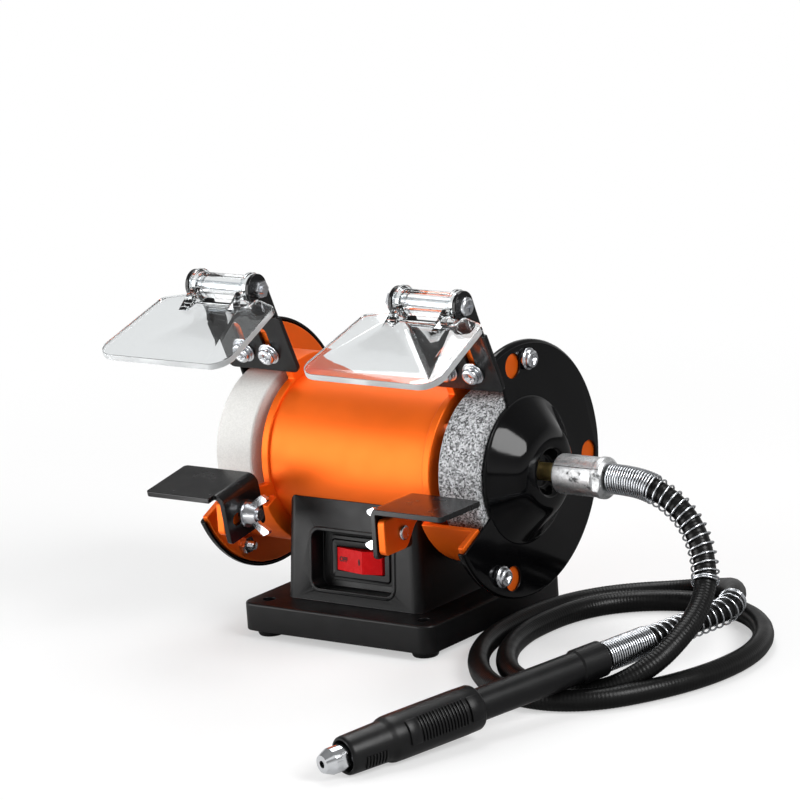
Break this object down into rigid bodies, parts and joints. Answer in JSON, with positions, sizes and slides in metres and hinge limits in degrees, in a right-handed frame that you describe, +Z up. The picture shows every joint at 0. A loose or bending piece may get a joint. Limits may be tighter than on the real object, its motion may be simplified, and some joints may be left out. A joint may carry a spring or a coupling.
{
  "type": "bench grinder",
  "caption": "Small bench grinder with a wheel at each end of the motor, clear eye shields, tilting tool rests, a rocker switch and a flexible shaft with a handpiece.",
  "frame": {"origin": "on the bench under the middle of the base, in the plane of the feet", "axes": "+X along the spindle towards the flexible shaft, -Y towards the user, +Z up"},
  "size_m": [0.2817, 0.2847, 0.166],
  "materials": {
    "orange_paint": "gloss powder coat",
    "black_paint": "satin powder coat",
    "gloss_black_paint": "gloss enamel",
    "black_plastic": "satin moulding",
    "grey_plastic": "satin",
    "red_plastic": "gloss",
    "rubber": "matte",
    "sheath_rubber": "satin with a fine ripple",
    "zinc_steel": "zinc plated",
    "bright_steel": "bright",
    "polished_steel": "polished",
    "core_steel": "laminated",
    "copper": "varnished copper wire",
    "brass": "turned",
    "aluminium": "raw casting",
    "grey_abrasive": "coarse grit",
    "white_abrasive": "fine grit",
    "clear_plastic": "clear"
  },
  "bodies": {
    "frame": {"base_housing": "black_plastic", "base_cover": "black_plastic", "rubber_feet": "rubber", "base_cover_screws": "zinc_steel", "cord_gland": "rubber", "run_capacitor": "grey_plastic", "switch_frame": "black_plastic", "motor_tube": "orange_paint", "motor_tie_bolts": "zinc_steel", "stator_core": "core_steel", "stator_winding": "copper", "bearing_outer_rings": "bright_steel", "cover_screws": "zinc_steel", "cover_nuts": "zinc_steel", "bracket_screws": "zinc_steel", "bracket_nuts": "zinc_steel", "wheel_cover_right": "gloss_black_paint", "wheel_cover_left": "gloss_black_paint", "wheel_guard_right": "orange_paint", "wheel_guard_left": "orange_paint", "brass_spigot": "brass", "coupling_collar": "aluminium", "flex_sheath": "sheath_rubber", "motor_relief_spring": "bright_steel", "handpiece_relief_spring": "bright_steel", "handpiece_bearings": "brass", "handpiece_body": "black_plastic", "handpiece_cap": "black_plastic"},
    "rotor": {"rotor_core": "core_steel", "rotor_end_rings": "aluminium", "motor_shaft": "bright_steel", "bearing_inner_rings": "bright_steel", "inner_wheel_flanges": "zinc_steel", "outer_wheel_flanges": "zinc_steel", "wheel_nuts": "zinc_steel", "grinding_wheel_right": "grey_abrasive", "grinding_wheel_left": "white_abrasive"},
    "ball_sets": {"bearing_balls": "bright_steel"},
    "rocker": {"switch_rocker": "red_plastic"},
    "sleeve": {"grip_sleeve": "black_plastic"},
    "collet": {"collet_nut": "polished_steel", "handpiece_spindle": "bright_steel"},
    "bracket_right": {"spark_bracket_right": "black_paint", "hinge_screw_right": "zinc_steel", "hinge_nut_right": "zinc_steel"},
    "shield_right": {"eye_shield_right": "clear_plastic"},
    "stud_right": {"rest_bolt_right": "zinc_steel", "rest_washer_right": "zinc_steel"},
    "rest_right": {"tool_rest_right": "black_paint"},
    "wing_right": {"wing_nut_right": "zinc_steel"},
    "bracket_left": {"spark_bracket_left": "black_paint", "hinge_screw_left": "zinc_steel", "hinge_nut_left": "zinc_steel"},
    "shield_left": {"eye_shield_left": "clear_plastic"},
    "stud_left": {"rest_bolt_left": "zinc_steel", "rest_washer_left": "zinc_steel"},
    "rest_left": {"tool_rest_left": "black_paint"},
    "wing_left": {"wing_nut_left": "zinc_steel"}
  },
  "joints": [
    {"name": "rotor_spin", "type": "hinge", "parent": "frame", "child": "rotor", "pos_m": [0, 0, 0.0771], "axis": [1, 0, 0], "continuous": true},
    {"name": "ball_roll", "type": "hinge", "parent": "frame", "child": "ball_sets", "pos_m": [0, 0, 0.0771], "axis": [1, 0, 0], "continuous": true},
    {"name": "collet_spin", "type": "hinge", "parent": "frame", "child": "collet", "pos_m": [0.1092, -0.206, 0.0076], "axis": [-0.2998, -0.9511, -0.0748], "continuous": true},
    {"name": "sleeve_slide", "type": "slide", "parent": "frame", "child": "sleeve", "axis": [0.2998, 0.9511, 0.0748], "range_m": [0, 0.005], "stiffness_N_per_m": 300, "springref_m": -0.003},
    {"name": "switch_rock", "type": "hinge", "parent": "frame", "child": "rocker", "pos_m": [0, -0.02826, 0.03492], "axis": [0, 0.092, 0.9958], "range_deg": [0, 9]},
    {"name": "bracket_slide_right", "type": "slide", "parent": "frame", "child": "bracket_right", "axis": [0, -0.4019, 0.9157], "range_m": [-0.003, 0.002]},
    {"name": "shield_tilt_right", "type": "hinge", "parent": "bracket_right", "child": "shield_right", "pos_m": [0.0564, -0.03986, 0.1592], "axis": [1, 0, 0], "range_deg": [-60, 35]},
    {"name": "rest_tilt_right", "type": "hinge", "parent": "frame", "child": "stud_right", "pos_m": [0.042, -0.058, 0.0605], "axis": [1, 0, 0], "range_deg": [-8, 12]},
    {"name": "rest_slide_right", "type": "slide", "parent": "stud_right", "child": "rest_right", "axis": [0, -1, 0], "range_m": [-0.002, 0.007]},
    {"name": "wing_turn_right", "type": "hinge", "parent": "stud_right", "child": "wing_right", "pos_m": [0.033, -0.058, 0.0605], "axis": [1, 0, 0], "range_deg": [-180, 180]},
    {"name": "bracket_slide_left", "type": "slide", "parent": "frame", "child": "bracket_left", "axis": [0, -0.4019, 0.9157], "range_m": [-0.003, 0.002]},
    {"name": "shield_tilt_left", "type": "hinge", "parent": "bracket_left", "child": "shield_left", "pos_m": [-0.0564, -0.03986, 0.1592], "axis": [1, 0, 0], "range_deg": [-60, 35]},
    {"name": "rest_tilt_left", "type": "hinge", "parent": "frame", "child": "stud_left", "pos_m": [-0.042, -0.058, 0.0605], "axis": [1, 0, 0], "range_deg": [-16, 2]},
    {"name": "rest_slide_left", "type": "slide", "parent": "stud_left", "child": "rest_left", "axis": [0, -0.9848, -0.1736], "range_m": [-0.002, 0.007]},
    {"name": "wing_turn_left", "type": "hinge", "parent": "stud_left", "child": "wing_left", "pos_m": [-0.033, -0.058, 0.0605], "axis": [1, 0, 0], "range_deg": [-180, 180]}
  ],
  "couplings": [
    {"joint": "ball_roll", "follows": "rotor_spin", "ratio": 0.3678},
    {"joint": "collet_spin", "follows": "rotor_spin", "ratio": 1}
  ]
}
